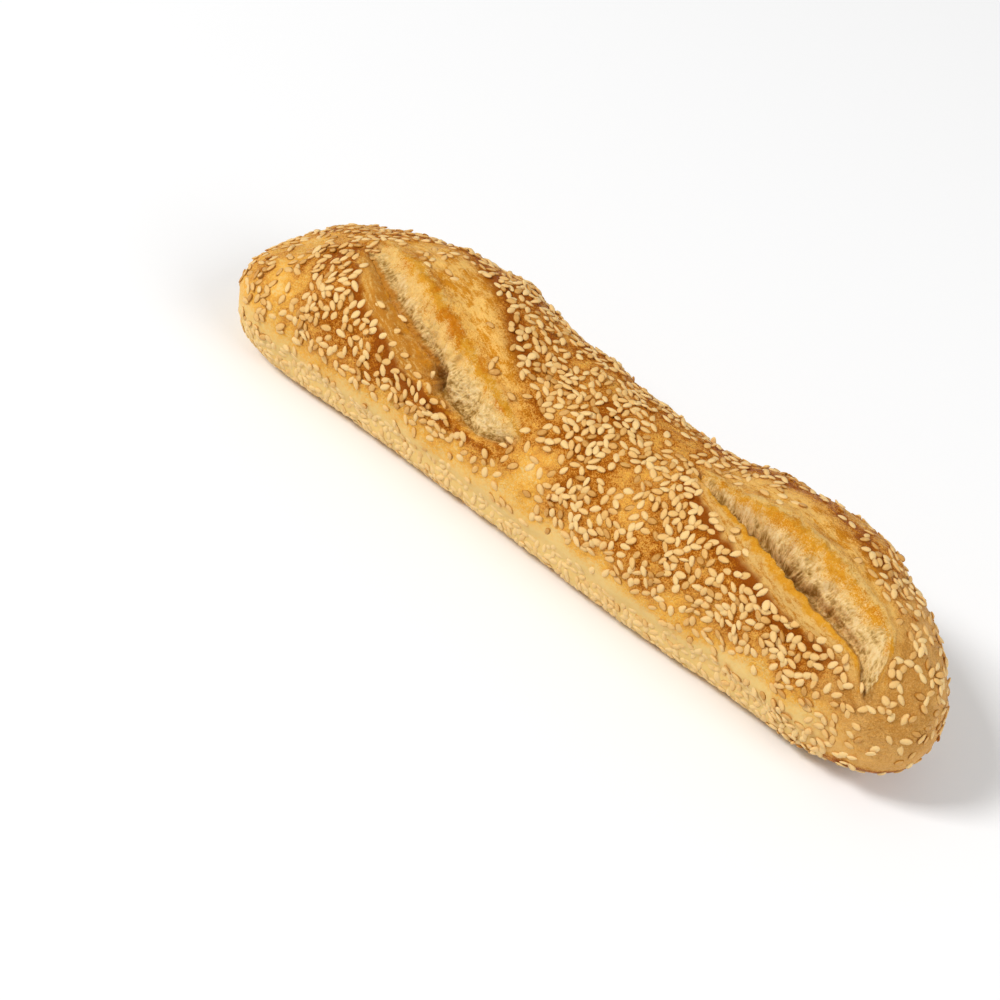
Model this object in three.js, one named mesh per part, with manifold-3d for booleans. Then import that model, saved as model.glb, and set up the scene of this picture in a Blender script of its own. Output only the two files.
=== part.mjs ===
// A mini sesame baguette: one solid loaf, flat below, with two opened scores across its top and
// sesame seeds baked into its crust. Millimetres, +Z up, the origin at the centre of its base.
import * as THREE from 'three';
import { mergeVertices } from 'three/addons/utils/BufferGeometryUtils.js';
import { MeshSurfaceSampler } from 'three/addons/math/MeshSurfaceSampler.js';
import Module from 'manifold-3d';

// Driving dimensions of the loaf
const LENGTH = 243;
const WAIST_HALF_WIDTH = 27.3;
const WAIST_HEIGHT = 41.6;
const WIDEST_LEVEL = 18;
const CROWN_POWER = 2.3;
const UNDER_POWER = 3;
const UNDER_DROP = 1.15;
const BEND = -6.9;
const SKEW = -1.8;
const CENTRING = -2.4;

// Each score makes the dough swell under it, upwards, to the back and to the front
const SWELLS = [
  { x: -66.5, reach: 48, lift: 9.1, back: 8, front: -1.3 },
  { x: 74, reach: 30, lift: 9.3, back: 8.2, front: -3.2 },
];

// How bluntly each end closes, in plan and in height
const LEFT_END = { plan: 12.7, crown: 3.3, root: 1.6 };
const RIGHT_END = { plan: 3.9, crown: 10, root: 2.4 };

// Scores lie on the crust unrolled flat: x along the loaf, q round it from the top, back positive
const UNROLL_RADIUS = 30;
const SCORES = [
  { x: -50, q: -15.6, turn: -23.6, half: 42, sag: -6.3 },
  { x: 71.3, q: -9.5, turn: -14.6, half: 39, sag: -3.3 },
];
const CLEFT_DEPTH = 5;
const LIP = { at: -3.2, width: 2.2, height: 1.1 };
const LIP_WALL = 1.9;
const RIDGE = { at: 11.5, width: 2.4, height: 1.2 };
const NARROWEST = 0.4;

// A shallow furrow runs along both flanks, above a low rim
const FURROW = { level: 10, spread: 3.6, depth: 1.3, end: 105, fade: 20 };

// Slow unevenness of a loaf rolled by hand: height, waves per length, waves round, start
const LUMPS = [
  { height: 0.45, along: 5, round: 2, start: 0.4 },
  { height: 0.35, along: 8, round: 3, start: 2.1 },
  { height: 0.25, along: 13, round: 1, start: 4.4 },
];
const LUMPS_FROM = 4;
const LUMPS_FULL = 18;

// The crust's facets: rings along the loaf, and steps round it before and behind the scores
const RINGS = 84;
const END_EASING = { share: 0.095, power: 9 };
const BASE_STEPS = 4;
const FRONT_STEPS = 12;
const BACK_STEPS = 20;
const LEAST_BASE_HALF_WIDTH = 16;
const STEP_GROWTH = 1.6;

// Sesame seeds, half sunk in the crust
const SEED = { length: 3.1, width: 1.9, thickness: 1.2, sides: 4 };
const SEED_COUNT = 178;
const SEED_GAP = 7.4;
const SEED_TRIES = 9000;
const SEED_SINK = 0.06;
const SEED_LOWEST = 5;
const SEED_BARE_FRONT = -9;
const SEED_BARE_BACK = 22;
const SEED_BARE_TIP = 116;
const RANDOM_START = 20241;

const CRUST = { color: 0xd39a4e, roughness: 0.75, metalness: 0 };

const radians = THREE.MathUtils.degToRad;
const smooth = THREE.MathUtils.smoothstep;
const bell = (value, middle, spread) => Math.exp(-(((value - middle) / spread) ** 2));

// How far a section has closed at x, from 1 in the loaf's body to 0 at the tip
function closing(x, kind) {
  const end = x < 0 ? LEFT_END : RIGHT_END;
  const reach = Math.min(1, Math.abs(x) / (LENGTH / 2));
  return (1 - reach ** end[kind]) ** (1 / end.root);
}

// Half-widths, crown height and sideways shift of the section at x
function sectionAt(x) {
  const swollen = (kind) => SWELLS.reduce((sum, s) => sum + s[kind] * bell(x, s.x, s.reach), 0);
  const s = x / (LENGTH / 2);
  const plan = closing(x, 'plan');
  return {
    back: (WAIST_HALF_WIDTH + swollen('back')) * plan,
    front: (WAIST_HALF_WIDTH + swollen('front')) * plan,
    crown: (WAIST_HEIGHT + swollen('lift') - WIDEST_LEVEL) * closing(x, 'crown'),
    under: UNDER_DROP * WIDEST_LEVEL * plan,
    shift: CENTRING + BEND * s * s + SKEW * s ** 3,
  };
}

// Where a point of the unrolled crust lies on a score: along it, across it, and how open it is
function onScore(score, x, q) {
  const turn = radians(score.turn);
  const dx = x - score.x;
  const dq = q - score.q;
  const along = (dx * Math.cos(turn) + dq * Math.sin(turn)) / score.half;
  const open = Math.max(0, 1 - along * along);
  const across = dq * Math.cos(turn) - dx * Math.sin(turn) - score.sag * open;
  return { open, across: across / (NARROWEST + (1 - NARROWEST) * Math.sqrt(open)) };
}

// Height of a score's relief: a torn lip, a cleft with one steep wall, and a browned ridge
function scoreRelief(x, q) {
  let height = 0;
  for (const score of SCORES) {
    const { open, across } = onScore(score, x, q);
    const cleft = smooth(across, -LIP_WALL, 0) * (1 - smooth(across, 0, RIDGE.at));
    const lip = LIP.height * bell(across, LIP.at, LIP.width);
    const ridge = RIDGE.height * bell(across, RIDGE.at, RIDGE.width);
    height += Math.sqrt(open) * (lip + ridge - CLEFT_DEPTH * cleft);
  }
  return height;
}

// Slow lumps of the crust, none at the foot of the flanks
function lumpHeight(x, angle, level) {
  const turn = (2 * Math.PI * x) / LENGTH;
  const wave = (lump) => lump.height * Math.sin(lump.along * turn + lump.round * angle + lump.start);
  return smooth(level, LUMPS_FROM, LUMPS_FULL) * LUMPS.reduce((sum, lump) => sum + wave(lump), 0);
}

// Depth of the furrow at a level of the flank, fading out before the ends
function furrowDepth(x, level) {
  const fade = smooth(FURROW.end - Math.abs(x), 0, FURROW.fade);
  return FURROW.depth * bell(level, FURROW.level, FURROW.spread) * fade;
}

// A point of the crust at x, at an angle from the top of the section, back positive
function crustPoint(x, angle) {
  const section = sectionAt(x);
  const side = Math.sin(angle);
  const rise = Math.cos(angle);
  const wide = Math.max(side > 0 ? section.back : section.front, 1e-3);
  const tall = Math.max(rise > 0 ? section.crown : section.under, 1e-3);
  const power = rise > 0 ? CROWN_POWER : UNDER_POWER;
  const radius = ((Math.abs(side) / wide) ** power + (Math.abs(rise) / tall) ** power) ** (-1 / power);
  const level = WIDEST_LEVEL + radius * rise;
  const relief = scoreRelief(x, UNROLL_RADIUS * angle) + lumpHeight(x, angle, level) - furrowDepth(x, level);
  const fullness = Math.min(1, radius / WIDEST_LEVEL);
  const reached = Math.max(0, radius + relief * fullness);
  return new THREE.Vector3(
    x,
    section.shift + reached * side,
    Math.max(0, WIDEST_LEVEL + reached * rise),
  );
}

// The angle of the cleft that a ring of the crust follows, eased from one score to the next
function guideAngle(x) {
  const angles = SCORES.map((score) => {
    const along = THREE.MathUtils.clamp((x - score.x) / (score.half * Math.cos(radians(score.turn))), -1, 1);
    const reach = along * score.half * Math.sin(radians(score.turn));
    return (score.q + reach + score.sag * (1 - along * along)) / UNROLL_RADIUS;
  });
  const blend = smooth(x, SCORES[0].x + SCORES[0].half, SCORES[1].x - SCORES[1].half);
  return THREE.MathUtils.lerp(angles[0], angles[1], blend);
}

// The angle at which a flank of some half-width turns into the flat base
function baseAngle(halfWidth, under) {
  const drop = Math.min(1, WIDEST_LEVEL / Math.max(under, 1e-3));
  const flat = halfWidth * (1 - drop ** UNDER_POWER) ** (1 / UNDER_POWER);
  return Math.PI / 2 + Math.atan2(WIDEST_LEVEL, Math.max(flat, LEAST_BASE_HALF_WIDTH));
}

// Angles round one ring: short steps at the cleft that grow towards the base, then the base
function ringAngles(x) {
  const guide = guideAngle(x);
  const section = sectionAt(x);
  const front = -baseAngle(section.front, section.under);
  const back = baseAngle(section.back, section.under);
  const angles = [];
  for (let i = 0; i < FRONT_STEPS; i += 1) {
    angles.push(guide + (front - guide) * (1 - i / FRONT_STEPS) ** STEP_GROWTH);
  }
  for (let i = 0; i < BACK_STEPS; i += 1) {
    angles.push(guide + (back - guide) * (i / BACK_STEPS) ** STEP_GROWTH);
  }
  for (let i = 0; i < BASE_STEPS; i += 1) {
    angles.push(back + (front + 2 * Math.PI - back) * (i / BASE_STEPS));
  }
  return angles;
}

// Ring positions, closer together where the ends close
function ringPlace(i) {
  const t = (2 * i) / RINGS - 1;
  const { share, power } = END_EASING;
  return ((t - share * t * Math.abs(t) ** (power - 1)) / (1 - share)) * (LENGTH / 2);
}

function loafGeometry() {
  const positions = [];
  const triangles = [];
  const steps = FRONT_STEPS + BACK_STEPS + BASE_STEPS;
  for (let i = 1; i < RINGS; i += 1) {
    const x = ringPlace(i);
    for (const angle of ringAngles(x)) positions.push(...crustPoint(x, angle).toArray());
  }
  const lastRing = (RINGS - 2) * steps;
  for (let ring = 0; ring < lastRing; ring += steps) {
    for (let k = 0; k < steps; k += 1) {
      const a = ring + k;
      const b = ring + ((k + 1) % steps);
      triangles.push(a, a + steps, b, b, a + steps, b + steps);
    }
  }
  const tips = [-LENGTH / 2, LENGTH / 2].map((x) => {
    positions.push(x, sectionAt(x).shift, WIDEST_LEVEL);
    return positions.length / 3 - 1;
  });
  for (let k = 0; k < steps; k += 1) {
    const next = (k + 1) % steps;
    triangles.push(tips[0], k, next);
    triangles.push(tips[1], lastRing + next, lastRing + k);
  }
  const geometry = new THREE.BufferGeometry();
  geometry.setAttribute('position', new THREE.Float32BufferAttribute(positions, 3));
  geometry.setIndex(triangles);
  return geometry;
}

// A flattened teardrop lying in the XY plane, its pointed end towards +Y
function seedGeometry() {
  const half = SEED.length / 2;
  const outline = [
    [0, -half],
    [SEED.width / 2, -0.3 * half],
    [0.32 * SEED.width, 0.5 * half],
    [0, half],
  ].map(([x, y]) => new THREE.Vector2(x, y));
  const seed = new THREE.LatheGeometry(outline, SEED.sides);
  return seed.scale(1, 1, SEED.thickness / SEED.width);
}

// A small repeatable source of random numbers
function randomSource(start) {
  let state = start;
  return () => {
    state = (state + 0x6d2b79f5) | 0;
    let t = Math.imul(state ^ (state >>> 15), 1 | state);
    t = (t + Math.imul(t ^ (t >>> 7), 61 | t)) ^ t;
    return ((t ^ (t >>> 14)) >>> 0) / 4294967296;
  };
}

// Seeds keep off the opened scores, the near tip and the foot of the flanks
function takesSeed(point) {
  const angle = Math.atan2(point.y - sectionAt(point.x).shift, point.z - WIDEST_LEVEL);
  const bare = SCORES.some((score) => {
    const { open, across } = onScore(score, point.x, UNROLL_RADIUS * angle);
    return open > 0 && across > SEED_BARE_FRONT && across < SEED_BARE_BACK;
  });
  return !bare && point.z > SEED_LOWEST && point.x < SEED_BARE_TIP;
}

// Places for the seeds, spread evenly over the crust: each as a matrix that lays a seed flat
function seedPlaces(geometry) {
  const random = randomSource(RANDOM_START);
  const crust = new THREE.Mesh(geometry.toNonIndexed());
  const sampler = new MeshSurfaceSampler(crust).setRandomGenerator(random).build();
  const point = new THREE.Vector3();
  const normal = new THREE.Vector3();
  const taken = [];
  const places = [];
  for (let i = 0; i < SEED_TRIES && places.length < SEED_COUNT; i += 1) {
    sampler.sample(point, normal);
    if (!takesSeed(point) || taken.some((other) => other.distanceTo(point) < SEED_GAP)) continue;
    taken.push(point.clone());
    const lie = new THREE.Quaternion().setFromUnitVectors(new THREE.Vector3(0, 0, 1), normal);
    lie.multiply(new THREE.Quaternion().setFromAxisAngle(new THREE.Vector3(0, 0, 1), random() * 2 * Math.PI));
    const centre = point.clone().addScaledVector(normal, -SEED_SINK);
    places.push(new THREE.Matrix4().compose(centre, lie, new THREE.Vector3(1, 1, 1)));
  }
  return places;
}

const wasm = await Module();
wasm.setup();

function toSolid(geometry) {
  const bare = new THREE.BufferGeometry();
  bare.setAttribute('position', geometry.getAttribute('position').clone());
  if (geometry.index) bare.setIndex(geometry.index.clone());
  const merged = mergeVertices(bare, 1e-4);
  const vertProperties = new Float32Array(merged.getAttribute('position').array);
  const triVerts = new Uint32Array(merged.index.array);
  return new wasm.Manifold(new wasm.Mesh({ numProp: 3, vertProperties, triVerts }));
}

function toGeometry(solid) {
  const mesh = solid.getMesh();
  const geometry = new THREE.BufferGeometry();
  geometry.setAttribute('position', new THREE.BufferAttribute(new Float32Array(mesh.vertProperties), 3));
  geometry.setIndex(new THREE.BufferAttribute(new Uint32Array(mesh.triVerts), 1));
  return geometry;
}

// The loaf with its seeds fused on
function seededLoaf() {
  const bare = loafGeometry();
  let solid = toSolid(bare);
  for (const place of seedPlaces(bare)) {
    solid = solid.add(toSolid(seedGeometry().applyMatrix4(place)));
  }
  return toGeometry(solid);
}

const loaf = new THREE.Mesh(seededLoaf(), new THREE.MeshStandardMaterial(CRUST));
loaf.name = 'loaf';

const baguette = new THREE.Group();
baguette.add(loaf);

export default baguette;
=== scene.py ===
"""Looks of a mini sesame baguette: a fine crust with two torn scores, and the seeds baked into it."""
import math

import bpy
import numpy as np
from mathutils import Matrix, Vector
from mathutils.kdtree import KDTree


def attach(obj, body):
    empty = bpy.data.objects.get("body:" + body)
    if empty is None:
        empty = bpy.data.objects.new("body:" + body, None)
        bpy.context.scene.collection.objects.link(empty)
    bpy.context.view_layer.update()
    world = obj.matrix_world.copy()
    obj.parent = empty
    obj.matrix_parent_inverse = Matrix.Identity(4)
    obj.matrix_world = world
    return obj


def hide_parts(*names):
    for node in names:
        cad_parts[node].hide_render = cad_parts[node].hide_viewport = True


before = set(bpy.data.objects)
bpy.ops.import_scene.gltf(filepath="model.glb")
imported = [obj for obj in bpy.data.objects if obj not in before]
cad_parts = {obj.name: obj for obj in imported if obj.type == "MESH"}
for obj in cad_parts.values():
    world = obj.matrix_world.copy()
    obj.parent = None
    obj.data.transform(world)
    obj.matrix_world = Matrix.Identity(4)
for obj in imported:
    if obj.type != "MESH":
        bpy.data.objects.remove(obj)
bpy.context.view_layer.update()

MM = 0.001

# The loaf's form, in millimetres
LENGTH = 243
WAIST_HALF_WIDTH = 27.3
WAIST_HEIGHT = 41.6
WIDEST_LEVEL = 18
CROWN_POWER = 2.3
UNDER_POWER = 3
UNDER_DROP = 1.15
BEND = -6.9
SKEW = -1.8
CENTRING = -2.4
SWELLS = (
    {"x": -66.5, "reach": 48, "lift": 9.1, "back": 8, "front": -1.3},
    {"x": 74, "reach": 30, "lift": 9.3, "back": 8.2, "front": -3.2},
)
LEFT_END = {"plan": 12.7, "crown": 3.3, "root": 1.6}
RIGHT_END = {"plan": 3.9, "crown": 10, "root": 2.4}
FURROW = {"level": 10, "spread": 3.6, "depth": 1.3, "end": 105, "fade": 20}
LUMPS = (
    {"height": 0.45, "along": 5, "round": 2, "start": 0.4},
    {"height": 0.35, "along": 8, "round": 3, "start": 2.1},
    {"height": 0.25, "along": 13, "round": 1, "start": 4.4},
)
LUMPS_START = (4, 18)
LEAST_RADIUS = 0.001

# The scores, on the crust unrolled flat: x along the loaf, q round it from the top, back positive
UNROLL_RADIUS = 30
# Each score also sets how much shade is painted over its crumb and in the hole under its lip, and how brown
# its strip is, that brown also painted shade where the strip falls as a wall into the cleft
SCORES = (
    {"x": -50, "q": -15.6, "turn": -23.6, "half": 42, "sag": -6.3, "hook": 0, "pocket": 5.5,
     "lip_end": 0.38, "lip_height": 0.3, "lip_curl": 0.9, "lip_gold": 0.35, "wall": 5,
     "gap_at": 0.33, "gap_reach": 0.1, "gap_depth": 6.5, "gap_width": 3.2, "gap_shade": 0.1,
     "strip_from": -7.5, "strip_brown": 0.9, "ridge": 10.8, "widening": 0, "taper": 0, "gilt_at": -0.5,
     "floor": 0.34, "tip_floor": 0, "scorch": 1, "crumb_shading": 0.42,
     "brink": 28, "brink_lean": -9.5, "bare_lean": -9.5},
    {"x": 69.4, "q": -7.8, "turn": -11.6, "half": 40, "sag": -5.4, "hook": -10.9, "pocket": 0,
     "lip_end": 0.95, "lip_height": 1.1, "lip_curl": 1.5, "lip_gold": 1, "wall": 2.2,
     "gap_at": 0.15, "gap_reach": 0.5, "gap_depth": 4, "gap_width": 2, "gap_shade": 0.3,
     "strip_from": -7, "strip_brown": 0.28, "ridge": 10, "widening": 6, "taper": 0.6, "gilt_at": -2,
     "floor": 0.5, "tip_floor": 0.38, "scorch": 0.4, "crumb_shading": 0.2,
     "brink": 24, "brink_lean": 0, "bare_lean": -10},
)
NARROWEST = 0.4
CLEFT_DEPTH = 5
STEEP_WALL = 1.9
UNDERCUT = 3.2
RIDGE_HEIGHT = 1.3
DRAWN_OUT_BEHIND = 1.8
CRUST_BELOW_CRUMB = 2.2

# Along a score, as shares of its half length: where a change starts and is complete
HOOK = (0.7, 1)
TAPER = (0.84, 1)
POCKET_OPENS = (0.2, 0.42)
POCKET_NARROWS = (0.75, 1)
LIP_STARTS = (-1, -0.8)
LIP_FADE = 0.22
OVERHANG_REACH = 1.5
NEAR_TIP = (0.55, 0.9)
FAR_END = (0.35, 0.9)
CRUMB_END_SINKS = (0.8, 0.98)
CRUMB_END_GOLD = (0.72, 0.96)

# Across a score from its torn line, in millimetres: starts and ends, or a bell's middle and spread
LIP_BULGE = (-3.2, 2.2)
LIP_CURLS = (-4.5, -STEEP_WALL)
LIP_GOLD = (-1.9, 1.5)
EDGE_GOLD = (-0.8, 1.4)
LIP_GOLD_ENDS = (-1, 0.2)
CRUMB_STARTS = (-1.2, -0.5)
STRIP_ENDS = (-1.6, -0.4)
MARGIN_STARTS = (-4.5, -3)
MARGIN_ENDS = (0, 1.5)
RIDGE_GOLD_STARTS = (0, 2)
FOLDS_START = (0, 3)
SHADE_ENDS = (0, 5)
RIM_ENDS = (-0.5, 3)
GAP_BEHIND = 0.4

# Across a score from its ridge, in the same way
RIDGE_BULGE = (0, 2.4)
RIDGE_SHOWN = (0, 2.6)
CRUMB_ENDS = (-1.8, -0.6)
CRUMB_SINKS = (-0.9, 1.5)
FOLDS_END = (-3, 0)
GILT = (0, 1.7)
GILT_ENDS = (0.5, 4)
SCORCH = (0, 2.8)
PLATEAU_STARTS = (0.5, 6)
BARE_STARTS = (1, 3)

# Across a score from the front edge of its stretched strip, and from the brink where seeds begin again
STRIP_STARTS = (-1.5, 1.5)
TOAST = (0, 4.5)
TOAST_ENDS = (-0.2, 1)
BELT = (-6, 5)
PLATEAU_ENDS = (-7, 1)
BARE_ENDS = (-2, 2)
BRINK = (0, 4.5)

# Shares by which a score's parts change
POCKET_FILLS = 0.04
POCKET_PALES = 0.05
FAR_SHALLOWER = 0.4
FAR_DULLER = 0.5
EDGE_GOLD_SHARE = 0.5
LIP_SCORCH_SHARE = 0.7
SHOWN_POWER = 0.35
CURL_POWER = 1.5
GOLDEN_CLIMB = {"before": 0.1, "after": 0.4, "by": 1.05}
SCORCHED_PATCHES = (-0.32, 0.25)

# The torn crumb's grids, one on each score
CRUMB_RUNS = 380
CRUMB_STEPS = 104
CRUMB_REACH = 0.985
CRUMB_FRONT = -3.2
CRUMB_PAST_RIDGE = 3.5
CRUMB_SINKING = {"back": 1.3, "ends": 1.2}
CRUMB_ROUGHNESS = 0.95
CRUMB_MAP_MARGIN = 0.01
STRAND_HEIGHT = 0.38
STRAND_MEAN = 0.7
STRAND_BEND = {"reach": 0.6, "size": 2.5, "salt": 81}
LEAST_ROUGH = 0.25
# Painted shade in the crumb's pits eases in over this range of its fine relief
PIT_SHADE = (-0.3, 0.45)

# The fine crust's grid: rings along the loaf, and steps round it before and behind the scores
RINGS = 430
END_EASING = {"share": 0.095, "power": 9}
FRONT_STEPS = 84
BACK_STEPS = 134
BASE_STEPS = 14
LEAST_BASE_HALF_WIDTH = 16
STEP_GROWTH = 1.3
RELIEF_STARTS = (0.3, 3)
FLAT_MAP = "OFBake"

# How noise is drawn from whole numbers
HASH_PRIMES = (73856093, 19349663, 83492791)
HASH_SALT = 2654435761
HASH_MIX = 0x45D9F3B
LOW_32_BITS = 0xFFFFFFFF
TEN_BITS = 1023
CHANCE_SALT = 91
NOISE_GAIN = 1.4
THREAD_THINNESS = 1.6
BUBBLE_RADIUS = {"least": 0.35, "more": 0.3}


def octaves(height, size, salt):
    """Three layers of noise, each half as high and as large as the one before."""
    return tuple((height / 2 ** i, size / 2 ** i, salt + i) for i in range(3))


# Layers of noise, each with its height, size and salt
RAGGED_MOUTH = ((0.9, 8, 11), (1.0, 3, 12), (0.6, 1.3, 17))
BROKEN_RIDGE = ((1.6, 11, 13), (1.2, 3.5, 14), (0.6, 1.5, 24))
CLEFT_UNEVEN = ((0.3, 10, 15),)
RIDGE_UNEVEN = ((0.9, 7, 16),)
FRAYED_ALONG = ((1.8, 11, 18), (1.2, 3.5, 19))
FRAYED_ACROSS = ((0.8, 1.8, 20),)
GOLDEN_EDGE = ((0.16, 6, 78), (0.12, 2, 79))
GILT_EDGE = ((1.5, 5, 85), (1.2, 1.8, 86))
SCORCHED_EDGE = ((1.4, 4, 83),)
LONG_PATCHES = ((1, 7, 80),)
SMALL_PATCHES = ((0.4, 2.2, 84),)
DENTS = ((0.35, 7, 26),)
PEBBLES = octaves(0.22, 3, 21) + ((0.16, 1.3, 25),)
PLATEAU_UNEVEN = ((0.6, 7, 35), (0.2, 2.5, 34))
STREAKS = ((1, 1, 41),)
STRIP_UNEVEN = ((0.25, 1, 42),)
TORN_BUMPS = octaves(0.5, 2.2, 46) + ((0.2, 0.9, 49),)
CRUMB_FOLDS = ((1.1, 5, 71),)
SMALL_FOLDS = ((0.5, 2.6, 70),)
WOOL = ((0.5, 2.2, 75), (0.2, 0.8, 76))
HEAT = octaves(1, 16, 51) + ((0.5, 5, 55),)
PALE_EDGE = ((2.2, 18, 57), (0.8, 4, 59))
TOAST_PATCHES = ((0.8, 7, 58),)
NEAR_END_EDGE = ((6, 12, 63),)
SEED_PATCHES = ((1.3, 13, 61),)

# Layers of bubbles, each with its height, size, share of cells and salt
BLISTERS = ((0.2, 2.8, 0.3, 31), (0.18, 1.7, 0.4, 32))
PLATEAU_BUBBLES = ((0.45, 5, 0.35, 36), (0.25, 2.4, 0.3, 33))
CRUMB_HOLLOWS = ((1.1, 6, 0.45, 72),)
CRUMB_PORES = ((0.4, 1.8, 0.15, 77),)

# Layers of threads, each with its height, how it is drawn out, its size and its salt
STRANDS = ((1, (1, 0.3, 1), 1.0, 73), (0.5, (1, 0.6, 1), 0.9, 74))

# How noise is drawn out along and across a score
PATCHES_DRAWN = (0.6, 1, 1)
STREAKS_DRAWN = (0.18, 0.9, 1)
STRIP_DRAWN = (0.25, 0.35, 1)
FOLDS_DRAWN = (1, 0.55, 1)
SCORES_APART = 7.0

# How deep the skin's relief is where it is stretched, streaked or pale
STRETCHED_SMOOTHER = 0.7
PLATEAU_STREAKS = 0.12
STRIP_STREAKS = 0.45
PALE_RELIEF = 0.12
RELIEF_BROWNS = (13, 22)

# Browning: levels between which the pale flank turns into the browned top, and shares by region, among them
# painted light on the near end's back and painted shade on its tip
PALE_UP_TO = 14.5
BROWN_FROM = 30
BROWN_POWER = 0.8
NEAR_PALE = {"drop": 2.5, "x": (45, 75)}
BAKED = {"all": 0.47, "heat": 0.28, "toast": 0.95, "brink": 0.42, "seedless": -0.22,
         "middle": 0.05, "far_tip": -0.13, "far_hump": 0.08, "near_back_light": -0.4}
TOASTED_LEVELS = (20, 27)
TOASTED_SHARE = {"mean": 0.75, "least": 0.1}
MIDDLE = {"x": (0, 45), "angle": (-0.3, 0.3)}
FAR_TIP_X = (70, 105)
FAR_HUMP_X = (-62, 28)
# Painted light: the back of the near end is made lighter, as lit from the right
NEAR_BACK_LIGHT = {"x": (80, 102), "angle": (-0.5, 0.2)}
# The underside is browner, as its sole is baked; towards the near end also painted shade where the end turns
# under
TURNED_UNDER = {"x": (92, 106), "slope": (0.15, 0.42)}
UNDERNEATH = {"levels": (0, 2.5), "baked": 0.22, "near_darkening": 0.55, "x": (88, 106)}
# Painted shade: the lower part of the near end's tip is darkened
NEAR_FACE_SHADE = {"baked": 0.18, "x": (98, 116), "levels": (5, 12)}
NEAR_END = {"x": (86, 108), "lean": 0.25, "level": 30}

# Sesame seeds
SEED = {"length": 3.3, "width": 2.1, "thickness": 0.9}
SEED_UNEVEN = 0.08
SEED_POINTED = {"by": 0.3, "along": (0.35, 1.05)}
SEED_RINGS = 5
SEED_SIDES = 6
SEED_COUNT = 3200
SEED_TRIES = 16000
SEED_GAP = 1.7
SEED_TOUCH = 2.4
SEED_CELL = 3
MOST_CROWDED = 2
# How far from a seed's middle, as shares of its width, the crust round it is browned and painted with its
# contact shade
SEED_TOAST_AND_SHADE_RING = {"at": 0.7, "spread": 0.7}
SEEDLESS = {"x": -4, "reach": 14, "from": -18, "to": -27}
RANDOM_START = 7

# Where seeds lie, by level, along the loaf and round it, and how much of a region is kept free of them
SEEDS_OFF = {"bare": 0.97, "strip": 0.93, "margin": 0.9}
SEEDS_OFF_TORN = {"mouth": 1.3, "ridge": 0.8}
SEEDS_OFF_TOAST = 0.6
SEED_SHARE = {"mean": 0.7, "belt": 0.8, "least": 0.06, "most": 1.7}
TOP_SEEDS = {"levels": (17, 25), "least": 0.5, "x": (8, 45), "off_seedless": 0.85}
FAR_TIP_SEEDS = {"off": 0.45, "x": (78, 102)}
FURROW_SEEDS = {"share": 1.15, "levels": (1.2, 4), "upper": 9.5, "fade": 2.5, "past_end": 9, "end_fade": 14}
FURROW_RISES = {"far": 3.5, "far_x": (20, 60), "near": 4.5, "near_x": (40, 75)}
FLANK_SEEDS = {"share": 0.05, "near": 0.1, "near_x": (84, 100), "levels": (1, 3)}
NEAR_TIP_SEEDS = {"off": 0.6, "x": (90, 106), "angle": (-0.2, 0.6)}

# How seeds sit, sunk in the furrow and loose elsewhere, and how toasted they are
FURROW_TOP = 14
SUNK_UP_TO_X = 85
SUNK = {"tilt": 0.05, "lift": -0.15, "crowd_lift": 0.06}
LOOSE = {"tilt": 0.11, "crowd_tilt": 0.08, "lift": 0.02, "crowd_lift": 0.2}
LEAST_SEED_LEVEL = 0.05
SEED_TOAST = {"mean": 0.38, "spread": 0.25, "furrow": -0.32, "far": 0.1,
              "far_x": (78, 104), "range": (-0.2, 0.8)}
SEED_MAP_MARGIN = 0.04

# Colours, in linear red, green and blue
CREAM = (0.775, 0.535, 0.195)
GOLDEN = (0.80, 0.395, 0.052)
LIGHT_BROWN = (0.665, 0.298, 0.058)
BROWN = (0.465, 0.145, 0.005)
TOASTED = (0.29, 0.066, 0.002)
END_TAN = (0.69, 0.372, 0.106)
END_BROWN = (0.49, 0.215, 0.036)
STRETCHED = (0.85, 0.505, 0.135)
STREAKED = (0.60, 0.233, 0.008)
PALE_STRIP = (0.67, 0.415, 0.13)
# Brown of a stretched strip, partly painted shade where the strip falls as a wall into the cleft
SHADED_BROWN_STRIP = (0.47, 0.188, 0.02)
TORN_CREAM = (0.80, 0.505, 0.16)
TORN_GOLD = (0.65, 0.292, 0.02)
TORN_ORANGE = (0.53, 0.168, 0.005)
PALE_CRUMB = (0.80, 0.58, 0.28)
CRUMB = (0.715, 0.475, 0.185)
CRUMB_SHADE = (0.30, 0.155, 0.03)
IVORY = (0.83, 0.565, 0.245)
TAN = (0.73, 0.43, 0.145)
SEED_BROWN = (0.42, 0.168, 0.02)
FLOOR_WHITE = (0.9, 0.9, 0.9, 1)
WARM_SHINE = (1, 0.58, 0.22, 1)

# How the colours follow one another as a finish darkens
CRUST_COLOURS = ((0, CREAM), (0.28, GOLDEN), (0.52, LIGHT_BROWN), (0.76, BROWN), (1, TOASTED))
# The crumb from pale on its raised parts away from the lip to CRUMB_SHADE in its pits and by the lip: painted
# light and shade
CRUMB_COLOURS = ((0, PALE_CRUMB), (0.35, CRUMB), (1, CRUMB_SHADE))
SEED_COLOURS = ((0.1, IVORY), (0.6, TAN), (1, SEED_BROWN))

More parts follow.
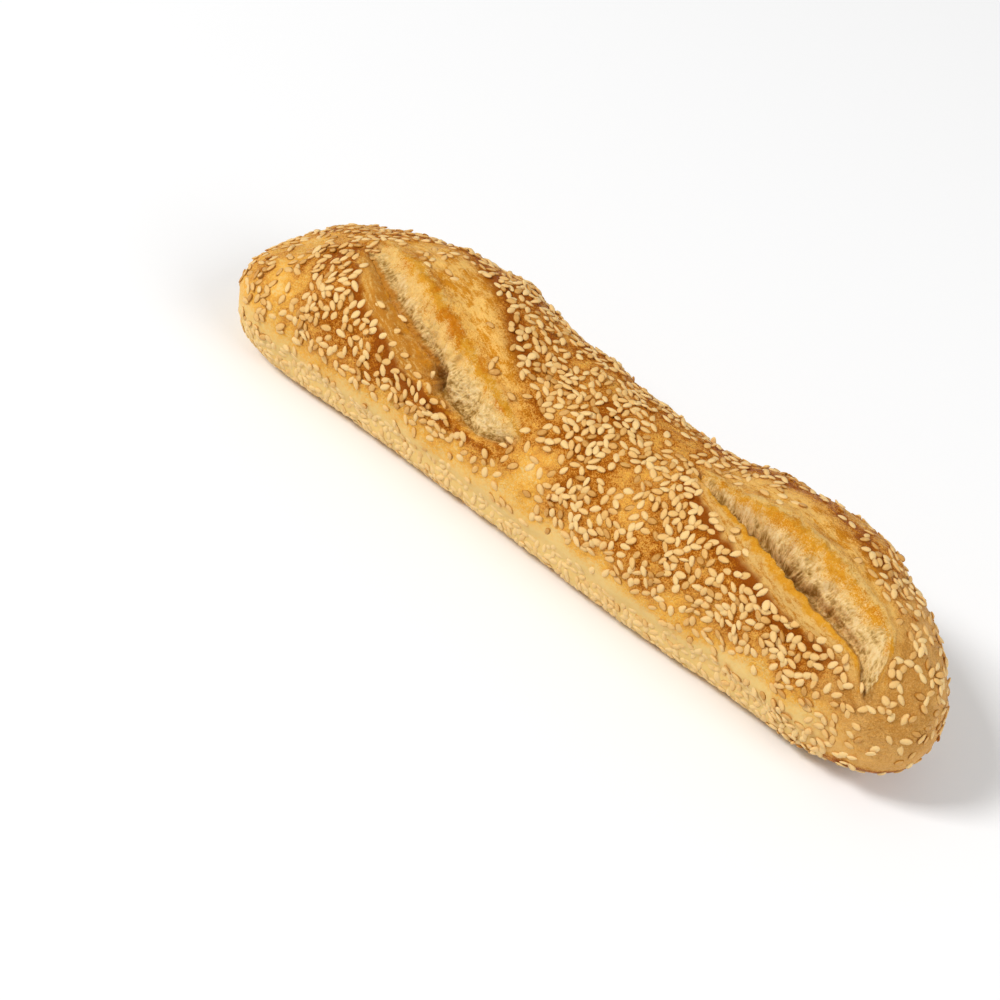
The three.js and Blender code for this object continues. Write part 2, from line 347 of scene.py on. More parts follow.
# Finishes: sizes of their grain in millimetres, how they shine and how light sinks into them
CRUST_GRAIN = {"fine": 0.7, "speckle": 0.3, "mottle": 3.5, "patch": 9, "pebble": 1.0}
CRUMB_GRAIN = {"fine": 0.5, "speckle": 0.25, "mottle": 3.5, "cloud": 5, "clump": 1.8}
SEED_GRAIN = 0.6
SPECKLE_DETAIL = 2.0
STREAK_SIZE = 1.0
STREAK_SCALE = (0.0003, 0.0012, 0.001)
FIBRE_SIZE = 0.45
FIBRE_SCALE = (0.001, 0.0002, 0.001)
CRUMB_DULLNESS = 0.7
CRUST_LIGHT = {"shine": 0.17, "glow": 0.1, "radius": (0.6, 0.35, 0.15)}
CRUMB_LIGHT = {"shine": 0.15, "glow": 0.2, "radius": (0.7, 0.5, 0.3)}
SEED_LIGHT = {"shine": 0.25, "glow": 0.15, "radius": (0.6, 0.4, 0.2)}
GLOW_DEPTH = 0.002

# The photograph's camera, in pixels, degrees and millimetres, but its nearest sight in metres
PHOTO_SIZE = 1000
PHOTO_FOCUS = 2016
PHOTO_AIM = (580.6, 472.7)
CAMERA_TURN = 27.3
CAMERA_RISE = 40
CAMERA_ROLL = -17.6
CAMERA_DISTANCE = 560
AIM = (0, -4.77, 18.9)
SENSOR_WIDTH = 36
NEAREST_SEEN = 0.01

# The studio, in metres and watts
FLOOR_HALF_SIDE = 3
FLOOR_DROP = 0.0001
SKY_STRENGTH = 0.4
LIGHTS = (
    {"name": "key", "place": (-1.5, -1.5, 2.2), "size": 0.85, "power": 66},
    {"name": "fill", "place": (2.0, -0.2, 1.5), "size": 1.6, "power": 26},
)


def bell(value, middle, spread):
    return np.exp(-(((value - middle) / spread) ** 2))


def smooth(value, low, high):
    t = np.clip((value - low) / (high - low), 0, 1)
    return t * t * (3 - 2 * t)


# Noise, worked out at points given in millimetres

def cell_hash(cell, salt):
    """Repeatable 32-bit numbers for whole-number cells."""
    cell = cell.astype(np.int64)
    first, second, third = (cell[..., axis] * prime for axis, prime in enumerate(HASH_PRIMES))
    mixed = (first ^ second ^ third ^ salt * HASH_SALT) & LOW_32_BITS
    for _ in range(2):
        mixed = ((mixed ^ (mixed >> 16)) * HASH_MIX) & LOW_32_BITS
    return mixed ^ (mixed >> 16)


def three_numbers(drawn):
    """Three whole numbers of ten bits out of each drawn one."""
    return np.stack([drawn >> shift & TEN_BITS for shift in (0, 10, 20)], -1)


def noise(points, size, salt):
    """Smooth noise, about -1 to 1, whose features are as large as size."""
    points = points / size
    cell = np.floor(points)
    inside = points - cell
    fade = inside ** 3 * (inside * (inside * 6 - 15) + 10)
    total = np.zeros(points.shape[:-1])
    for corner in np.ndindex(2, 2, 2):
        corner = np.array(corner)
        slope = three_numbers(cell_hash(cell + corner, salt)) / (TEN_BITS / 2) - 1
        weight = np.prod(np.where(corner, fade, 1 - fade), -1)
        total += weight * np.sum(slope * (inside - corner), -1)
    return total * NOISE_GAIN


def threads(points, size, salt):
    """Thin winding threads, from 0 between them to 1 along their middle."""
    return (1 - np.minimum(1, np.abs(noise(points, size, salt)) * THREAD_THINNESS)) ** 2


def bubbles(points, size, share, salt):
    """Round bubbles of up to that size in some share of the cells, from 0 to 1 at their middle."""
    points = points / size
    cell = np.floor(points)
    height = np.zeros(points.shape[:-1])
    for step in np.ndindex(3, 3, 3):
        near = cell + np.array(step) - 1
        middle = near + three_numbers(cell_hash(near, salt)) / TEN_BITS
        chance = (cell_hash(near, salt + CHANCE_SALT) & TEN_BITS) / TEN_BITS
        radius = BUBBLE_RADIUS["least"] + BUBBLE_RADIUS["more"] * chance / share
        away = np.sum((points - middle) ** 2, -1) / radius ** 2
        height = np.maximum(height, np.where(chance < share, np.clip(1 - away, 0, 1), 0))
    return height


def uneven(points, layers):
    """A sum of layers of noise."""
    return sum(height * noise(points, size, salt) for height, size, salt in layers)


def blistered(points, layers):
    """A sum of layers of bubbles."""
    return sum(height * bubbles(points, size, share, salt) for height, size, share, salt in layers)


# The loaf's form

def closing(x, kind):
    """How far the sections at x have closed, from 1 in the loaf's body to 0 at a tip."""
    reach = np.minimum(1, np.abs(x) / (LENGTH / 2))
    left = (1 - reach ** LEFT_END[kind]) ** (1 / LEFT_END["root"])
    right = (1 - reach ** RIGHT_END[kind]) ** (1 / RIGHT_END["root"])
    return np.where(x < 0, left, right)


def section_at(x):
    """Half-widths, crown height, depth below the widest level and sideways shift at x."""
    swollen = {k: sum(s[k] * bell(x, s["x"], s["reach"]) for s in SWELLS) for k in ("lift", "back", "front")}
    plan = closing(x, "plan")
    s = x / (LENGTH / 2)
    return {
        "back": (WAIST_HALF_WIDTH + swollen["back"]) * plan,
        "front": (WAIST_HALF_WIDTH + swollen["front"]) * plan,
        "crown": (WAIST_HEIGHT + swollen["lift"] - WIDEST_LEVEL) * closing(x, "crown"),
        "under": UNDER_DROP * WIDEST_LEVEL * plan,
        "shift": CENTRING + BEND * s * s + SKEW * s ** 3,
    }


def wander(score, along):
    """How far a score's line strays from straight: a sag in its middle and a hook at its near end."""
    return score["sag"] * np.clip(1 - along * along, 0, 1) + score["hook"] * smooth(along, *HOOK)


def ridge_line(score, along):
    """How far behind a score's line its ridge runs, drawing in at the near end."""
    drawn_in = 1 - score["taper"] * smooth(along, *TAPER)
    return (score["ridge"] + score["widening"] * along) * drawn_in


def mouth_width(openness):
    """How wide a score is where it is that open, as a share of its widest."""
    return NARROWEST + (1 - NARROWEST) * np.sqrt(openness)


def on_score(score, x, q):
    """Where points of the unrolled crust lie on a score: along it, how open it is, and across it."""
    turn = math.radians(score["turn"])
    dx, dq = x - score["x"], q - score["q"]
    along = (dx * math.cos(turn) + dq * math.sin(turn)) / score["half"]
    openness = np.clip(1 - along * along, 0, 1)
    across = dq * math.cos(turn) - dx * math.sin(turn) - wander(score, along)
    return along, openness, across / mouth_width(openness)


def bare_form(x, angle):
    """Points of the crust without its scores, at x and an angle from the top of the section."""
    section = section_at(x)
    side, rise = np.sin(angle), np.cos(angle)
    wide = np.maximum(np.where(side > 0, section["back"], section["front"]), LEAST_RADIUS)
    tall = np.maximum(np.where(rise > 0, section["crown"], section["under"]), LEAST_RADIUS)
    power = np.where(rise > 0, CROWN_POWER, UNDER_POWER)
    radius = ((np.abs(side) / wide) ** power + (np.abs(rise) / tall) ** power) ** (-1 / power)
    level = WIDEST_LEVEL + radius * rise
    turn = 2 * math.pi * x / LENGTH
    waves = sum(k["height"] * np.sin(k["along"] * turn + k["round"] * angle + k["start"]) for k in LUMPS)
    furrow = FURROW["depth"] * bell(level, FURROW["level"], FURROW["spread"])
    furrow = furrow * smooth(FURROW["end"] - np.abs(x), 0, FURROW["fade"])
    relief = waves * smooth(level, *LUMPS_START) - furrow
    reached = np.maximum(0, radius + relief * np.minimum(1, radius / WIDEST_LEVEL))
    return np.stack([x, section["shift"] + reached * side, np.maximum(0, WIDEST_LEVEL + reached * rise)], -1)


def guide_angle(x):
    """The angle of the cleft that the grid follows, eased from one score to the next."""
    angles = []
    for score in SCORES:
        turn = math.radians(score["turn"])
        along = np.clip((x - score["x"]) / (score["half"] * math.cos(turn)), -1, 1)
        q = score["q"] + along * score["half"] * math.sin(turn) + wander(score, along)
        angles.append(q / UNROLL_RADIUS)
    first, second = SCORES
    blend = smooth(x, first["x"] + first["half"], second["x"] - second["half"])
    return angles[0] + (angles[1] - angles[0]) * blend


def base_angle(half_width, under):
    """The angle at which a flank turns into the flat base."""
    drop = np.minimum(1, WIDEST_LEVEL / np.maximum(under, LEAST_RADIUS))
    flat = half_width * (1 - drop ** UNDER_POWER) ** (1 / UNDER_POWER)
    return math.pi / 2 + np.arctan2(WIDEST_LEVEL, np.maximum(flat, LEAST_BASE_HALF_WIDTH))


def crust_grid():
    """x and angle of every point of the fine crust, ring by ring."""
    t = np.linspace(-1, 1, RINGS + 1)[1:-1]
    share, power = END_EASING["share"], END_EASING["power"]
    x = (t - share * t * np.abs(t) ** (power - 1)) / (1 - share) * (LENGTH / 2)
    section = section_at(x)
    guide = guide_angle(x)[:, None]
    front = -base_angle(section["front"], section["under"])[:, None]
    back = base_angle(section["back"], section["under"])[:, None]
    before = 1 - np.arange(FRONT_STEPS) / FRONT_STEPS
    behind = np.arange(BACK_STEPS) / BACK_STEPS
    under = np.arange(BASE_STEPS) / BASE_STEPS
    angle = np.concatenate([
        guide + (front - guide) * before ** STEP_GROWTH,
        guide + (back - guide) * behind ** STEP_GROWTH,
        back + (front + 2 * math.pi - back) * under,
    ], 1)
    return np.repeat(x[:, None], angle.shape[1], 1), angle


def unit(vectors):
    return vectors / np.linalg.norm(vectors, axis=-1, keepdims=True)


def grid_normals(points):
    """Outward normals of a grid of rings that close on themselves."""
    along = np.gradient(points, axis=0)
    around = np.roll(points, -1, 1) - np.roll(points, 1, 1)
    return unit(np.cross(along, around))


def seedless(x, q):
    """The bare patch in the middle of the loaf's front, from 0 to 1."""
    return bell(x, SEEDLESS["x"], SEEDLESS["reach"]) * (1 - smooth(q, SEEDLESS["to"], SEEDLESS["from"]))


# The scores, and what each spot of the crust is

def pocket_depth(score, along):
    """How far forward the torn mouth reaches where a score has lost its lip."""
    return score["pocket"] * (smooth(along, *POCKET_OPENS) * (1 - smooth(along, *POCKET_NARROWS)))


def drawn_out_behind(distance):
    """Distances from a ridge, drawn out behind it, where it falls away more slowly."""
    return np.where(distance > 0, distance / DRAWN_OUT_BEHIND, distance)


def score_lines(number, score, x, q):
    """Where points of the unrolled crust lie from a score's torn line, its ridge and its lip."""
    along, openness, across = on_score(score, x, q)
    run = along * score["half"]
    apart = np.full(x.shape, SCORES_APART * number)
    line = np.stack([run, apart, np.zeros(x.shape)], -1)
    width = np.sqrt(openness)
    pocket = pocket_depth(score, along)
    ridge_at = ridge_line(score, along)
    crest = across - ridge_at - width * uneven(line, BROKEN_RIDGE)
    lip_left = 1 - smooth(along, score["lip_end"] - LIP_FADE, score["lip_end"])
    lip_left = lip_left * smooth(along, *LIP_STARTS)
    return {
        "along": along, "openness": openness, "width": width, "across": across, "pocket": pocket,
        "line": line, "place": np.stack([run, across, apart], -1),
        "torn": across + pocket - width * uneven(line, RAGGED_MOUTH),
        "crest": crest, "climb": 1 + crest / (ridge_at + pocket), "lip_left": lip_left,
        "overhang": lip_left * bell(along, score["gap_at"], OVERHANG_REACH * score["gap_reach"]),
    }


def score_heights(score, lines):
    """Heights of the crust and of the crumb at a score, with its wall and the hole under its lip."""
    along, torn, crest, line = (lines[k] for k in ("along", "torn", "crest", "line"))
    steepness = np.maximum(lines["overhang"], 1 - lines["lip_left"])
    wall = smooth(torn / (score["wall"] + (STEEP_WALL - score["wall"]) * steepness), -1, 0)
    depth = CLEFT_DEPTH * (1 + uneven(line, CLEFT_UNEVEN)) * (1 - POCKET_FILLS * lines["pocket"])
    depth = depth * (1 - FAR_SHALLOWER * smooth(-along, *FAR_END))
    depth = depth * (1 - score["taper"] * smooth(along, *NEAR_TIP))
    cleft = depth * (1 - smooth(lines["climb"], 0, 1))
    hole = bell(along, score["gap_at"], score["gap_reach"]) * bell(torn, GAP_BEHIND, score["gap_width"])
    gap = score["gap_depth"] * hole
    lip = score["lip_height"] * bell(torn, *LIP_BULGE) * lines["lip_left"]
    ridge = RIDGE_HEIGHT * (1 + uneven(line, RIDGE_UNEVEN)) * bell(drawn_out_behind(crest), *RIDGE_BULGE)
    return {
        "wall": wall, "hole": hole,
        "crust": lines["width"] * (lip + ridge - wall * (cleft + gap)),
        "floor": lines["width"] * (ridge - cleft - gap),
    }


def score_browning(score, lines):
    """How golden, gilded and scorched the torn skin of a score is."""
    along, crest, place = (lines[k] for k in ("along", "crest", "place"))
    floor = score["floor"] + POCKET_PALES * lines["pocket"] + score["tip_floor"] * smooth(along, *NEAR_TIP)
    full = np.minimum(floor + GOLDEN_CLIMB["after"], GOLDEN_CLIMB["by"])
    golden = smooth(lines["climb"] + uneven(place, GOLDEN_EDGE), floor - GOLDEN_CLIMB["before"], full)
    gilt = drawn_out_behind(crest - score["gilt_at"]) + uneven(place, GILT_EDGE)
    patches = uneven(place * np.array(PATCHES_DRAWN), LONG_PATCHES) + uneven(place, SMALL_PATCHES)
    patches = score["scorch"] * smooth(patches, *SCORCHED_PATCHES)
    return {
        "golden": golden,
        "gilded": golden * (1 - smooth(crest, *GILT_ENDS)),
        "gilding": bell(gilt, *GILT) * (1 - FAR_DULLER * smooth(-along, *FAR_END)),
        "patches": patches,
        "scorched": patches * bell(crest + uneven(place, SCORCHED_EDGE), *SCORCH),
    }


def score_profile(number, score, x, q):
    """A score's torn lines, its height and its browning at points of the unrolled crust, in millimetres."""
    lines = score_lines(number, score, x, q)
    return {**lines, **score_heights(score, lines), **score_browning(score, lines)}


def score_masks(score, p):
    """What shows at each point of a score's part of the crust, as shares from 0 to 1."""
    across, torn, crest, lip_left = (p[k] for k in ("across", "torn", "crest", "lip_left"))
    shown = p["openness"] ** SHOWN_POWER
    opened = p["openness"] > 0
    fray = uneven(p["line"], FRAYED_ALONG) + uneven(p["place"], FRAYED_ACROSS)
    edge = across - score["strip_from"] - fray
    past_brink = across - (score["brink"] + score["brink_lean"] * p["along"])
    past_bare = across - (score["brink"] + score["bare_lean"] * p["along"])
    behind = smooth(torn, *RIDGE_GOLD_STARTS)
    lip = score["lip_gold"] * lip_left * bell(torn, *LIP_GOLD)
    lip = lip + EDGE_GOLD_SHARE * (1 - lip_left) * bell(torn, *EDGE_GOLD)
    lip = lip * (1 - smooth(torn, *LIP_GOLD_ENDS))
    return {
        "crumb": shown * smooth(torn, *CRUMB_STARTS) * (1 - smooth(crest, *CRUMB_ENDS)),
        "gold": shown * np.maximum(lip, p["gilded"] * behind),
        "goldness": opened * np.maximum(p["gilding"], 1 - behind),
        "scorched": shown * np.maximum(LIP_SCORCH_SHARE * lip * p["patches"], p["scorched"]),
        "ridge": shown * bell(crest, *RIDGE_SHOWN),
        "strip": shown * (lip_left * smooth(edge, *STRIP_STARTS) * (1 - smooth(torn, *STRIP_ENDS))),
        "strip_brown": score["strip_brown"] * opened,
        "toast": shown * bell(np.minimum(0, edge), *TOAST) * (1 - smooth(edge, *TOAST_ENDS)),
        "belt": shown * bell(edge, *BELT),
        "margin": shown * smooth(torn, *MARGIN_STARTS) * (1 - smooth(torn, *MARGIN_ENDS)),
        "plateau": shown * smooth(crest, *PLATEAU_STARTS) * (1 - smooth(past_brink, *PLATEAU_ENDS)),
        "bare": shown * smooth(crest, *BARE_STARTS) * (1 - smooth(past_bare, *BARE_ENDS)),
        "brink": shown * bell(past_brink, *BRINK),
    }


def score_relief(x, q):
    """Height and sideways curl of the crust at the torn scores, with masks of what shows where."""
    height, curl = np.zeros(x.shape), np.zeros(x.shape)
    masks, place = {}, np.zeros(x.shape + (3,))
    for number, score in enumerate(SCORES):
        p = score_profile(number, score, x, q)
        found = score_masks(score, p)
        for name, share in found.items():
            masks[name] = masks.get(name, 0) + share
        wall = p["wall"]
        height += p["crust"] - CRUST_BELOW_CRUMB * found["crumb"]
        rolled = score["lip_curl"] * smooth(p["torn"], *LIP_CURLS) * (1 - wall) ** CURL_POWER
        curl += p["width"] * p["overhang"] * (rolled - UNDERCUT * wall * (1 - wall))
        place = np.where((p["openness"] > 0)[..., None], p["place"], place)
    return height, curl, {k: np.clip(v, 0, 1) for k, v in masks.items()}, place


def crust_relief(points, level, masks, place):
    """Fine relief of the baked skin, the stretched skin and the torn skin."""
    stretched = np.clip(masks["strip"] + masks["plateau"], 0, 1)
    skin = (1 - masks["crumb"]) * (1 - STRETCHED_SMOOTHER * stretched)
    browned = PALE_RELIEF + (1 - PALE_RELIEF) * smooth(level, *RELIEF_BROWNS)
    pebbled = uneven(points, PEBBLES) + blistered(points, BLISTERS)
    height = skin * (uneven(points, DENTS) + browned * pebbled)
    streaks = uneven(place * np.array(STREAKS_DRAWN), STREAKS)
    swells = uneven(points, PLATEAU_UNEVEN) + blistered(points, PLATEAU_BUBBLES)
    height += masks["plateau"] * (PLATEAU_STREAKS * streaks + swells)
    strip = STRIP_STREAKS * streaks + uneven(place * np.array(STRIP_DRAWN), STRIP_UNEVEN)
    torn = np.clip(masks["gold"] + masks["ridge"], 0, 1)
    return height + masks["strip"] * strip + torn * uneven(points, TORN_BUMPS)


def crust_browning_light_and_shade(grid):
    """How far each point of the crust has browned, with painted shade low on the near end's tip and where it
    turns under and painted light on its back, and how much of the near end's own tan it shows.
    """
    points, level, x, angle, masks = (grid[k] for k in ("points", "level", "x", "angle", "masks"))
    wavering = uneven(points, PALE_EDGE) - NEAR_PALE["drop"] * smooth(x, *NEAR_PALE["x"])
    risen = np.clip((level + wavering - PALE_UP_TO) / (BROWN_FROM - PALE_UP_TO), 0, 1) ** BROWN_POWER
    patches = np.clip(TOASTED_SHARE["mean"] + uneven(points, TOAST_PATCHES), TOASTED_SHARE["least"], 1)
    regions = {
        "all": 1,
        "heat": uneven(points, HEAT),
        "toast": masks["toast"] * smooth(level, *TOASTED_LEVELS) * patches,
        "brink": masks["brink"],
        "seedless": seedless(x, UNROLL_RADIUS * angle),
        "middle": bell(x, *MIDDLE["x"]) * smooth(angle, *MIDDLE["angle"]),
        "far_tip": smooth(-x, *FAR_TIP_X),
        "far_hump": bell(x, *FAR_HUMP_X),
        # painted light on the back of the near end
        "near_back_light": smooth(x, *NEAR_BACK_LIGHT["x"]) * smooth(angle, *NEAR_BACK_LIGHT["angle"]),
    }
    browning = risen * sum(BAKED[name] * share for name, share in regions.items())
    # The underside is browner, as its sole is baked; towards the near end also painted shade where the end
    # turns under
    turned = smooth(x, *TURNED_UNDER["x"]) * smooth(-grid["normal"][..., 2], *TURNED_UNDER["slope"])
    underneath = np.maximum(1 - smooth(level, *UNDERNEATH["levels"]), turned)
    # Painted shade darkens the lower part of the near end's tip
    browning += NEAR_FACE_SHADE["baked"] * smooth(x, *NEAR_FACE_SHADE["x"]) * smooth(level, *NEAR_FACE_SHADE["levels"])
    darkening_below = UNDERNEATH["baked"] + UNDERNEATH["near_darkening"] * smooth(x, *UNDERNEATH["x"])
    browning = np.maximum(browning, darkening_below * underneath)
    leaning = x + uneven(points, NEAR_END_EDGE) + NEAR_END["lean"] * (level - NEAR_END["level"])
    return browning, smooth(leaning, *NEAR_END["x"]) * (1 - underneath)


# Pieces

def mesh_object(name, points, faces, spots=None):
    """A smooth piece from points in millimetres, faces by number of corners, and a flat map's spots."""
    mesh = bpy.data.meshes.new(name)
    mesh.vertices.add(len(points))
    mesh.vertices.foreach_set("co", (points * MM).astype(np.float32).ravel())
    sizes = np.concatenate([np.full(len(f), f.shape[1]) for f in faces])
    corners = np.concatenate([f.ravel() for f in faces])
    mesh.loops.add(len(corners))
    mesh.loops.foreach_set("vertex_index", corners.astype(np.int32))
    mesh.polygons.add(len(sizes))
    starts = np.concatenate([[0], np.cumsum(sizes)[:-1]])
    mesh.polygons.foreach_set("loop_start", starts.astype(np.int32))
    mesh.polygons.foreach_set("use_smooth", np.ones(len(sizes), bool))
    if spots is not None:
        mesh.uv_layers.new(name=FLAT_MAP).data.foreach_set("uv", spots.astype(np.float32).ravel())
    mesh.update(calc_edges=True)
    mesh.validate()
    made = bpy.data.objects.new(name, mesh)
    bpy.context.scene.collection.objects.link(made)
    return made


def store(piece, name, values):
    """Keeps a number, or a vector, at every point of a piece."""
    kind = "FLOAT_VECTOR" if values.ndim == 2 else "FLOAT"
    made = piece.data.attributes.new(name, kind, "POINT")
    made.data.foreach_set("vector" if values.ndim == 2 else "value", values.astype(np.float32).ravel())


def grid_faces(rows, steps):
    """Quads between neighbouring points of a grid, as rows and steps of their corners."""
    row, step = np.meshgrid(np.arange(rows - 1), np.arange(steps - 1), indexing="ij")
    corner_rows = np.stack([row, row + 1, row + 1, row], -1).reshape(-1, 4)
    corner_steps = np.stack([step, step, step + 1, step + 1], -1).reshape(-1, 4)
    return corner_rows, corner_steps


def tube_faces(rings, steps):
    """Faces of a tube of closed rings with a point at each end, and their spots on a flat map."""
    ring, step = grid_faces(rings, steps + 1)
    quads = ring * steps + step % steps
    start = np.arange(steps)
    after = (start + 1) % steps
    far = (rings - 1) * steps
    near_tip, far_tip = np.full(steps, rings * steps), np.full(steps, rings * steps + 1)
    near_fan = np.stack([near_tip, start, after], 1)
    far_fan = np.stack([far_tip, far + after, far + start], 1)
    near_ring = np.array([0, 1, 1]) + 0 * near_fan
    far_ring = np.array([rings + 1, rings, rings]) + 0 * far_fan
    near_step = np.stack([start + 0.5, start, start + 1], 1)
    far_step = np.stack([start + 0.5, start + 1, start], 1)
    across = np.concatenate([a.ravel() for a in (ring + 1, near_ring, far_ring)]) / (rings + 1)
    round_it = np.concatenate([a.ravel() for a in (step, near_step, far_step)]) / steps
    return quads, np.concatenate([near_fan, far_fan]), np.stack([across, round_it], 1)


def make_crust():
    x, angle = crust_grid()
    bare = bare_form(x, angle)
    normal = grid_normals(bare)
    level = bare[..., 2]
    height, curl, masks, place = score_relief(x, UNROLL_RADIUS * angle)
    fine = crust_relief(bare, level, masks, place)
    around = np.stack([np.zeros_like(x), np.cos(angle), -np.sin(angle)], -1)
    raised = height + fine * smooth(level, *RELIEF_STARTS)
    points = bare + normal * raised[..., None] + around * curl[..., None]
    points[..., 2] = np.maximum(points[..., 2], 0)
    grid = {"points": points, "normal": normal, "level": level, "x": x, "angle": angle, "masks": masks}

    ends = np.array([-LENGTH / 2, LENGTH / 2])
    tips = np.stack([ends, section_at(ends)["shift"], [WIDEST_LEVEL, WIDEST_LEVEL]], 1)
    quads, fans, spots = tube_faces(*x.shape)
    crust = mesh_object("crust", np.concatenate([points.reshape(-1, 3), tips]), [quads, fans], spots)

    browning, near_end = crust_browning_light_and_shade(grid)
    stretch = np.maximum(masks["strip"], masks["plateau"])
    shown = {k: masks[k] for k in ("crumb", "gold", "goldness", "brink", "scorched", "strip", "strip_brown")}
    for name, values in {**shown, "browning": browning, "near_end": near_end, "stretch": stretch}.items():
        store(crust, name, np.concatenate([values.ravel(), values[0, :1], values[-1, :1]]))
    store(crust, "score_place", np.concatenate([place.reshape(-1, 3), np.zeros((2, 3))]))
    return crust, grid


def crumb_grid(score):
    """Shares along a score, and the x and q of a grid of points over its mouth."""
    rows = np.linspace(-CRUMB_REACH, CRUMB_REACH, CRUMB_RUNS)[:, None]
    shares = np.linspace(0, 1, CRUMB_STEPS)[None]
    turn = math.radians(score["turn"])
    front = CRUMB_FRONT - pocket_depth(score, rows)
    back = ridge_line(score, rows) + CRUMB_PAST_RIDGE
    across = (front + (back - front) * shares) * mouth_width(1 - rows ** 2) + wander(score, rows)
    run = rows * score["half"] + 0 * across
    x = score["x"] + run * math.cos(turn) - across * math.sin(turn)
    q = score["q"] + run * math.sin(turn) + across * math.cos(turn)
    return rows, x, q


def crumb_relief(points, p):
    """Height of the torn crumb's folds and strands, the strands alone, and their bent lines."""
    place = p["place"]
    folds = uneven(place * np.array(FOLDS_DRAWN), CRUMB_FOLDS) - blistered(place, CRUMB_HOLLOWS)
    folds = folds + uneven(place, SMALL_FOLDS)
    salts = [STRAND_BEND["salt"] + axis for axis in range(3)]
    bends = np.stack([noise(place, STRAND_BEND["size"], salt) for salt in salts], -1)
    bent = place + STRAND_BEND["reach"] * bends
    strands = sum(share * threads(bent * np.array(drawn), size, salt) for share, drawn, size, salt in STRANDS)
    fine = STRAND_HEIGHT * (strands - STRAND_MEAN) + uneven(bent, WOOL) - blistered(bent, CRUMB_PORES)
    fine = CRUMB_ROUGHNESS * fine
    inside = smooth(p["torn"], *FOLDS_START) * (1 - smooth(p["crest"], *FOLDS_END))
    soft = LEAST_ROUGH + (1 - LEAST_ROUGH) * (1 - p["golden"])
    return folds * inside + fine * soft + uneven(points, TORN_BUMPS) * p["golden"], fine, bent


def make_crumb():
    """The torn crumb that shows between the lip and the ridge of each score."""
    row, step = grid_faces(CRUMB_RUNS, CRUMB_STEPS)
    row_share, step_share = row / (CRUMB_RUNS - 1), step / (CRUMB_STEPS - 1)
    grids, faces, spots, kept = [], [], [], {}
    for number, score in enumerate(SCORES):
        rows, x, q = crumb_grid(score)
        points = bare_form(x, q / UNROLL_RADIUS)
        normal = unit(np.cross(np.gradient(points, axis=0), np.gradient(points, axis=1)))
        p = score_profile(number, score, x, q)
        rough, fine, bent = crumb_relief(points, p)
        buried = CRUMB_SINKING["back"] * smooth(p["crest"], *CRUMB_SINKS)
        buried = buried + CRUMB_SINKING["ends"] * smooth(np.abs(rows), *CRUMB_END_SINKS)
        height = p["floor"] + p["width"] * rough - buried
        grids.append((points + normal * height[..., None]).reshape(-1, 3))
        faces.append(row * CRUMB_STEPS + step + number * x.size)
        half = (number + CRUMB_MAP_MARGIN + (1 - 2 * CRUMB_MAP_MARGIN) * step_share) / len(SCORES)
        spots.append(np.stack([row_share, half], -1).reshape(-1, 2))
        # Painted shade on the crumb: over all of it, in its pits, towards the lip and in the hole under the
        # lip; brown with painted shade by the lip where it meets the strip's wall
        shade = score["crumb_shading"] + score["gap_shade"] * p["hole"]
        for name, values in (
            ("pit", smooth(-fine, *PIT_SHADE)),
            ("gold", np.maximum(p["golden"], smooth(-rows, *CRUMB_END_GOLD))),
            ("goldness", p["gilding"]),
            ("scorched", p["scorched"]),
            ("depth", 1 - smooth(p["torn"], *SHADE_ENDS) + shade),
            ("rim", score["strip_brown"] * p["lip_left"] * (1 - smooth(p["torn"], *RIM_ENDS))),
            ("fibres", bent),
        ):
            kept.setdefault(name, []).append(values.reshape(x.size, *values.shape[2:]))
    crumb = mesh_object("crumb", np.concatenate(grids), [np.concatenate(faces)], np.concatenate(spots))
    for name, values in kept.items():
        store(crumb, name, np.concatenate(values))
    return crumb


# Seeds

def seed_shape():
    """Points of a flattened teardrop lying in the XY plane, 1 long, its pointed end towards +X."""
    t = (1 - np.cos(np.linspace(0, math.pi, SEED_RINGS + 2)[1:-1])) / 2
    round_end = np.sqrt(1 - (1 - 2 * t) ** 2)
    girth = round_end * (1 - SEED_POINTED["by"] * smooth(t, *SEED_POINTED["along"]))
    turn = np.arange(SEED_SIDES) / SEED_SIDES * 2 * math.pi + math.pi / 2
    rings = np.stack([
        np.repeat((t - 0.5)[:, None], SEED_SIDES, 1),
        girth[:, None] * np.sin(turn) / 2,
        girth[:, None] * np.cos(turn) / 2,
    ], -1).reshape(-1, 3)
    return np.concatenate([rings, [[-0.5, 0, 0], [0.5, 0, 0]]])


def free_of_tears(masks):
    """How free each point of the crust is of torn, stretched and toasted skin, which seeds keep off."""
    mouth = SEEDS_OFF_TORN["mouth"] * (masks["crumb"] + masks["gold"])
    free = 1 - np.clip(mouth + SEEDS_OFF_TORN["ridge"] * masks["ridge"], 0, 1)
    for name, share in SEEDS_OFF.items():
        free = free * (1 - share * masks[name])
    return free * (1 - SEEDS_OFF_TOAST * masks["toast"] ** 2)


